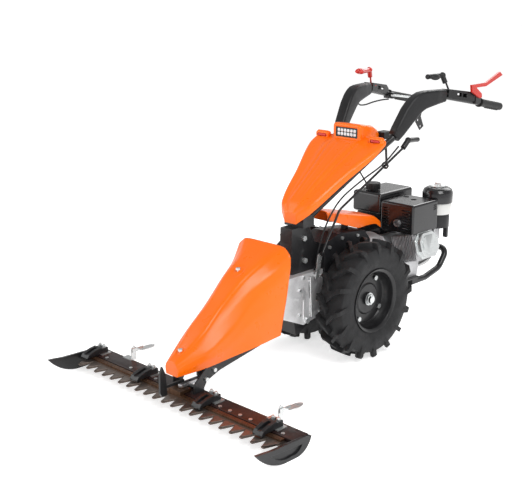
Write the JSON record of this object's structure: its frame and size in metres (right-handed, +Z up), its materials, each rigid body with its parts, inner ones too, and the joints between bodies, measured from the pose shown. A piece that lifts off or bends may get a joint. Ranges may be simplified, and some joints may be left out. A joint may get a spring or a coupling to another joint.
{
  "type": "brush mower",
  "caption": "Walk-behind mower on two lugged wheels with an engine behind, a toothed cutter bar on runner shoes in front, wedge hood, and a high handlebar with control levers.",
  "frame": {"origin": "on the floor, below the middle of the overall box of the assembly", "axes": "+X to the machine's left, -Y forward to the cutter bar, +Y towards the grips, +Z up"},
  "size_m": [1.1922, 1.9297, 1.1642],
  "materials": {
    "tyre": "matte",
    "rim_black": "satin",
    "hub_steel": "satin",
    "beam_paint": "satin",
    "comb_steel": "satin",
    "blade_steel": "satin",
    "knife_bronze": "satin",
    "frame_black": "satin",
    "zinc": "satin",
    "case_black": "satin",
    "gearbox_alu": "cast",
    "machined_steel": "satin",
    "cover_orange": "gloss",
    "lamp": "gloss",
    "black_plastic": "satin",
    "engine_black": "gloss",
    "engine_alu": "cast",
    "valve_zinc": "satin",
    "cap_black": "satin",
    "muffler_steel": "satin",
    "grip_rubber": "matte",
    "red_plastic": "gloss",
    "red_paint": "satin"
  },
  "bodies": {
    "chassis": {"air_filter_base": "engine_black", "air_filter_cap": "engine_black", "bar_fittings": "zinc", "carburettor": "engine_alu", "chassis_bolts": "zinc", "clutch_housing": "gearbox_alu", "control_cables": "black_plastic", "crankcase": "engine_alu", "crankshaft": "machined_steel", "crop_divider": "frame_black", "cutter_beam": "beam_paint", "cutter_carrier": "frame_black", "cylinder": "engine_alu", "engine_shroud": "engine_black", "flywheel": "machined_steel", "front_hood": "cover_orange", "fuel_tank": "engine_black", "gearbox_housing": "gearbox_alu", "grips": "grip_rubber", "handle_tube_left": "frame_black", "handle_tube_right": "frame_black", "headlight": "lamp", "hold_down_arms": "frame_black", "knee_covers": "black_plastic", "lever_brackets": "zinc", "lower_comb": "comb_steel", "muffler": "muffler_steel", "muffler_shield": "engine_black", "piston": "machined_steel", "rear_bumper": "frame_black", "recoil_starter": "engine_black", "runner_shoes": "beam_paint", "saddle_cover": "cover_orange", "skid_plate": "frame_black", "steering_column": "frame_black", "switch_box": "black_plastic", "transmission_case": "case_black", "upper_cowl": "cover_orange", "valve_cover": "valve_zinc"},
    "wheel_left": {"tyre_left": "tyre", "rim_left": "rim_black", "hub_left": "hub_steel"},
    "wheel_right": {"tyre_right": "tyre", "rim_right": "rim_black", "hub_right": "hub_steel"},
    "knife": {"knife_blades": "blade_steel", "knife_back": "knife_bronze"},
    "rocker": {"knife_rocker": "machined_steel"},
    "driveline": {"drive_shaft": "machined_steel", "clutch_drum": "machined_steel"},
    "layshaft": {"layshaft_gear": "machined_steel"},
    "drive_control": {"drive_lever": "black_plastic"},
    "throttle_control": {"throttle_lever": "red_plastic"},
    "clutch_control": {"clutch_lever": "red_paint"},
    "hand_control": {"hand_lever": "zinc"},
    "gear_change": {"gear_rod": "machined_steel"},
    "selector": {"selector_lever": "zinc"},
    "filler_cap": {"fuel_cap": "cap_black"},
    "paddle_l": {"paddle_left": "zinc"},
    "paddle_r": {"paddle_right": "zinc"}
  },
  "joints": [
    {"name": "wheel_left_spin", "type": "hinge", "parent": "chassis", "child": "wheel_left", "pos_m": [0, 0.1165, 0.254], "axis": [1, 0, 0], "continuous": true},
    {"name": "wheel_right_spin", "type": "hinge", "parent": "chassis", "child": "wheel_right", "pos_m": [0, 0.1165, 0.254], "axis": [1, 0, 0], "continuous": true},
    {"name": "rocker_swing", "type": "hinge", "parent": "chassis", "child": "rocker", "pos_m": [0, -0.6535, 0.13], "axis": [0, 0, 1], "range_deg": [-13.54, 13.54]},
    {"name": "knife_slide", "type": "slide", "parent": "chassis", "child": "knife", "axis": [1, 0, 0], "range_m": [-0.026, 0.026]},
    {"name": "drive_spin", "type": "hinge", "parent": "chassis", "child": "driveline", "pos_m": [0, -0.1835, 0.367], "axis": [0, 1, 0], "continuous": true},
    {"name": "layshaft_spin", "type": "hinge", "parent": "chassis", "child": "layshaft", "pos_m": [0, 0.0665, 0.4405], "axis": [0, 1, 0], "continuous": true},
    {"name": "drive_lever_tilt", "type": "hinge", "parent": "chassis", "child": "drive_control", "pos_m": [0.21356, 0.60676, 1.07851], "axis": [0.982, -0.1859, 0.0345], "range_deg": [-30, 12]},
    {"name": "throttle_lever_tilt", "type": "hinge", "parent": "chassis", "child": "throttle_control", "pos_m": [-0.21356, 0.60676, 1.07851], "axis": [0.982, 0.1859, -0.0345], "range_deg": [-30, 12]},
    {"name": "clutch_lever_squeeze", "type": "hinge", "parent": "chassis", "child": "clutch_control", "pos_m": [0.258, 0.7595, 1.052], "axis": [1, 0, 0], "range_deg": [-30, 0], "stiffness_Nm_per_rad": 1, "springref_deg": 34.38},
    {"name": "hand_lever_squeeze", "type": "hinge", "parent": "chassis", "child": "hand_control", "pos_m": [-0.212, 0.7685, 1.019], "axis": [0, 0, 1], "range_deg": [0, 10], "stiffness_Nm_per_rad": 1, "springref_deg": -22.92},
    {"name": "gear_rod_slide", "type": "slide", "parent": "chassis", "child": "gear_change", "axis": [0, 0.8997, 0.4364], "range_m": [-0.02, 0.02]},
    {"name": "selector_turn", "type": "hinge", "parent": "chassis", "child": "selector", "pos_m": [0.077, -0.0885, 0.376], "axis": [1, 0, 0], "range_deg": [-12, 12]},
    {"name": "fuel_cap_turn", "type": "hinge", "parent": "chassis", "child": "filler_cap", "pos_m": [-0.048, 0.4285, 0.65], "axis": [0, 0, 1], "range_deg": [0, 90]},
    {"name": "paddle_l_lift", "type": "hinge", "parent": "chassis", "child": "paddle_l", "pos_m": [0.4535, -0.6975, 0.102], "axis": [1, 0, 0], "range_deg": [0, 60]},
    {"name": "paddle_r_lift", "type": "hinge", "parent": "chassis", "child": "paddle_r", "pos_m": [-0.3715, -0.6975, 0.102], "axis": [1, 0, 0], "range_deg": [0, 60]}
  ],
  "couplings": [
    {"joint": "knife_slide", "follows": "rocker_swing", "m_per_rad": 0.11},
    {"joint": "layshaft_spin", "follows": "drive_spin", "ratio": -0.4},
    {"joint": "selector_turn", "follows": "gear_rod_slide", "rad_per_m": -9.8}
  ]
}
